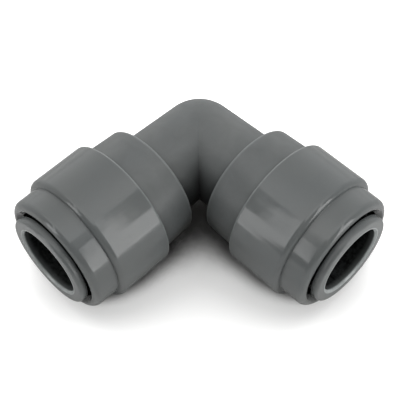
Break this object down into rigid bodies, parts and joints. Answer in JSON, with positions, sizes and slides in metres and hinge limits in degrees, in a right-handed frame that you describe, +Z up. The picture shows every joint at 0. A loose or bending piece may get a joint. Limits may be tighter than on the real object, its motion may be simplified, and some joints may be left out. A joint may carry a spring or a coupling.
{
  "type": "push to connect elbow fitting",
  "caption": "Equal right-angle push to connect tube fitting with stepped end caps, releasable collets, grip teeth and O-ring seals at each port.",
  "frame": {"origin": "centre of the footprint, on the surface the fitting lies on", "axes": "+Z up, across both ports; left port opens along -Y, right port opens along +X"},
  "size_m": [0.049, 0.049, 0.0249],
  "materials": {
    "body_plastic": "satin moulded acetal, cool mid grey",
    "cap_plastic": "glossy moulded acetal, cool mid grey",
    "collet_plastic": "semi-gloss moulded acetal, cool mid grey",
    "tooth_steel": "pressed stainless strip",
    "seal_rubber": "black nitrile, lightly greased",
    "ring_plastic": "matte moulded acetal, darker grey"
  },
  "bodies": {
    "fitting": {"elbow_body": "body_plastic", "left_end_cap": "cap_plastic", "left_inner_o_ring": "seal_rubber", "left_outer_o_ring": "seal_rubber", "left_seal_spacer_ring": "ring_plastic", "left_backup_washer": "ring_plastic", "right_end_cap": "cap_plastic", "right_inner_o_ring": "seal_rubber", "right_outer_o_ring": "seal_rubber", "right_seal_spacer_ring": "ring_plastic", "right_backup_washer": "ring_plastic"},
    "left_collet": {"left_collet": "collet_plastic", "left_grip_tooth_1": "tooth_steel", "left_grip_tooth_2": "tooth_steel", "left_grip_tooth_3": "tooth_steel", "left_grip_tooth_4": "tooth_steel", "left_grip_tooth_5": "tooth_steel", "left_grip_tooth_6": "tooth_steel"},
    "right_collet": {"right_collet": "collet_plastic", "right_grip_tooth_1": "tooth_steel", "right_grip_tooth_2": "tooth_steel", "right_grip_tooth_3": "tooth_steel", "right_grip_tooth_4": "tooth_steel", "right_grip_tooth_5": "tooth_steel", "right_grip_tooth_6": "tooth_steel"}
  },
  "joints": [
    {"name": "left_collet_push", "type": "slide", "parent": "fitting", "child": "left_collet", "axis": [0, 1, 0], "range_m": [-0.0002, 0.0017]},
    {"name": "right_collet_push", "type": "slide", "parent": "fitting", "child": "right_collet", "axis": [-1, 0, 0], "range_m": [-0.0002, 0.0017]}
  ]
}
